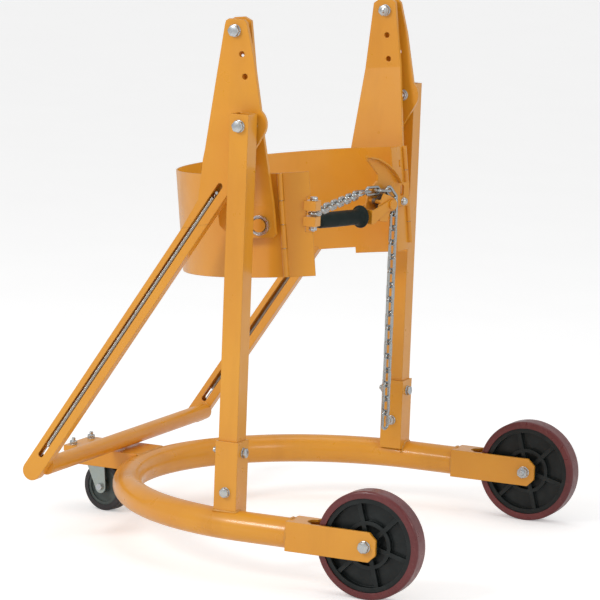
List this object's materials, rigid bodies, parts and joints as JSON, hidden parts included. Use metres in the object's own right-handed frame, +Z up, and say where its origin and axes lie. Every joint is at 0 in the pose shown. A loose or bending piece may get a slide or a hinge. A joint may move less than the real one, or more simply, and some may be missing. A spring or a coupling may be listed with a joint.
{
  "type": "drum dolly",
  "caption": "Mobile drum carrier: horseshoe base on wheels, uprights with a lifting lever, and a tilting drum holder closed by a ratcheted chain.",
  "frame": {"origin": "on the floor, under the middle of the bounding box", "axes": "+X forward towards the two large wheels and the open side of the base, +Y to the far side, +Z up"},
  "size_m": [0.9296, 0.8816, 1.0445],
  "materials": {
    "orange_paint": "glossy",
    "zinc_hardware": "satin",
    "caster_zinc": "satin",
    "chain_zinc": "glossy",
    "spring_steel": "satin",
    "dark_steel": "satin",
    "black_casting": "satin",
    "maroon_tread": "glossy",
    "caster_core": "satin",
    "caster_tread": "satin",
    "black_grip": "satin"
  },
  "bodies": {
    "base": {"base_ring": "orange_paint", "caster_bracket": "orange_paint", "caster_plate": "caster_zinc", "caster_bolts": "zinc_hardware", "wheel_axles": "zinc_hardware", "socket_bolts": "zinc_hardware", "pivot_bolts": "zinc_hardware", "pivot_nuts": "zinc_hardware", "wheel_fork_near": "orange_paint", "wheel_fork_far": "orange_paint", "socket_near": "orange_paint", "socket_far": "orange_paint", "upright_near": "orange_paint", "upright_far": "orange_paint"},
    "wheel_near": {"wheel_hub_near": "black_casting", "wheel_tread_near": "maroon_tread", "wheel_bushing_near": "dark_steel"},
    "wheel_far": {"wheel_hub_far": "black_casting", "wheel_tread_far": "maroon_tread", "wheel_bushing_far": "dark_steel"},
    "caster_swivel": {"caster_fork": "caster_zinc", "caster_axle": "zinc_hardware"},
    "caster_wheel": {"caster_wheel_core": "caster_core", "caster_tyre": "caster_tread"},
    "lever": {"lever_plate_near": "orange_paint", "lever_plate_far": "orange_paint", "lever_arm_near": "orange_paint", "lever_arm_far": "orange_paint", "arm_spring_near": "spring_steel", "arm_spring_far": "spring_steel", "cross_tube": "orange_paint", "spring_pegs": "zinc_hardware", "hanger_bolts": "zinc_hardware", "hanger_nuts": "zinc_hardware"},
    "hangers": {"hanger_near": "orange_paint", "hanger_far": "orange_paint"},
    "holder": {"holder_band": "orange_paint", "trunnions": "orange_paint", "trunnion_rings": "zinc_hardware", "hinge_pins": "zinc_hardware"},
    "near_gate": {"near_flap": "orange_paint", "chain_clevis": "orange_paint", "clevis_bolt": "zinc_hardware"},
    "far_gate": {"far_flap": "orange_paint", "flap_pads": "orange_paint", "link_bolt": "zinc_hardware", "ratchet_frame": "orange_paint", "ratchet_pin": "orange_paint", "chain_wrap": "chain_zinc"},
    "pocket_wheel": {"ratchet_sprocket": "dark_steel"},
    "pawl": {"ratchet_pawl": "dark_steel"},
    "handle": {"handle_bar": "orange_paint", "handle_grip": "black_grip"},
    "chain_run": {"chain_run": "chain_zinc"},
    "chain_tail": {"chain_tail": "chain_zinc"}
  },
  "joints": [
    {"name": "near_wheel_turn", "type": "hinge", "parent": "base", "child": "wheel_near", "pos_m": [0.3632, -0.403, 0.1016], "axis": [0, 1, 0], "continuous": true},
    {"name": "far_wheel_turn", "type": "hinge", "parent": "base", "child": "wheel_far", "pos_m": [0.3632, 0.403, 0.1016], "axis": [0, 1, 0], "continuous": true},
    {"name": "caster_swivel", "type": "hinge", "parent": "base", "child": "caster_swivel", "pos_m": [-0.4128, 0, 0.11], "axis": [0, 0, 1], "continuous": true},
    {"name": "caster_wheel_turn", "type": "hinge", "parent": "caster_swivel", "child": "caster_wheel", "pos_m": [-0.38835, -0.0052, 0.05], "axis": [0.2079, 0.9781, 0], "continuous": true},
    {"name": "lever_lift", "type": "hinge", "parent": "base", "child": "lever", "pos_m": [0.0692, 0, 0.849], "axis": [0, 1, 0], "range_deg": [0, 90]},
    {"name": "hanger_swing", "type": "hinge", "parent": "lever", "child": "hangers", "pos_m": [0.0332, 0, 1.0195], "axis": [0, 1, 0], "range_deg": [-90, 12]},
    {"name": "holder_tilt", "type": "hinge", "parent": "hangers", "child": "holder", "pos_m": [0.07463, 0, 0.65585], "axis": [0, 1, 0], "range_deg": [-90, 90]},
    {"name": "near_flap_hinge", "type": "hinge", "parent": "holder", "child": "near_gate", "pos_m": [0.11045, -0.29082, 0.65691], "axis": [0.1132, 0, -0.9936], "range_deg": [0, 80]},
    {"name": "far_flap_hinge", "type": "hinge", "parent": "holder", "child": "far_gate", "pos_m": [0.11549, 0.29015, 0.65749], "axis": [-0.1132, 0, 0.9936], "range_deg": [0, 105]},
    {"name": "ratchet_handle", "type": "hinge", "parent": "far_gate", "child": "handle", "pos_m": [0.1152, 0.18, 0.65], "axis": [0.9397, -0.342, 0], "range_deg": [0, 60]},
    {"name": "pocket_wheel_turn", "type": "hinge", "parent": "far_gate", "child": "pocket_wheel", "pos_m": [0.1152, 0.18, 0.65], "axis": [0.9397, -0.342, 0], "continuous": true},
    {"name": "pawl_lift", "type": "hinge", "parent": "far_gate", "child": "pawl", "pos_m": [0.10562, 0.15369, 0.656], "axis": [0.9397, -0.342, 0], "range_deg": [0, 15], "stiffness_Nm_per_rad": 0.02, "springref_deg": -11.46},
    {"name": "chain_swing", "type": "hinge", "parent": "near_gate", "child": "chain_run", "pos_m": [0.1642, -0.273, 0.682], "axis": [0, 0, 1], "range_deg": [-70, 0]},
    {"name": "chain_tail_swing", "type": "hinge", "parent": "far_gate", "child": "chain_tail", "pos_m": [0.12444, 0.20537, 0.59462], "axis": [0.342, 0.9397, 0], "range_deg": [-20, 20]}
  ]
}
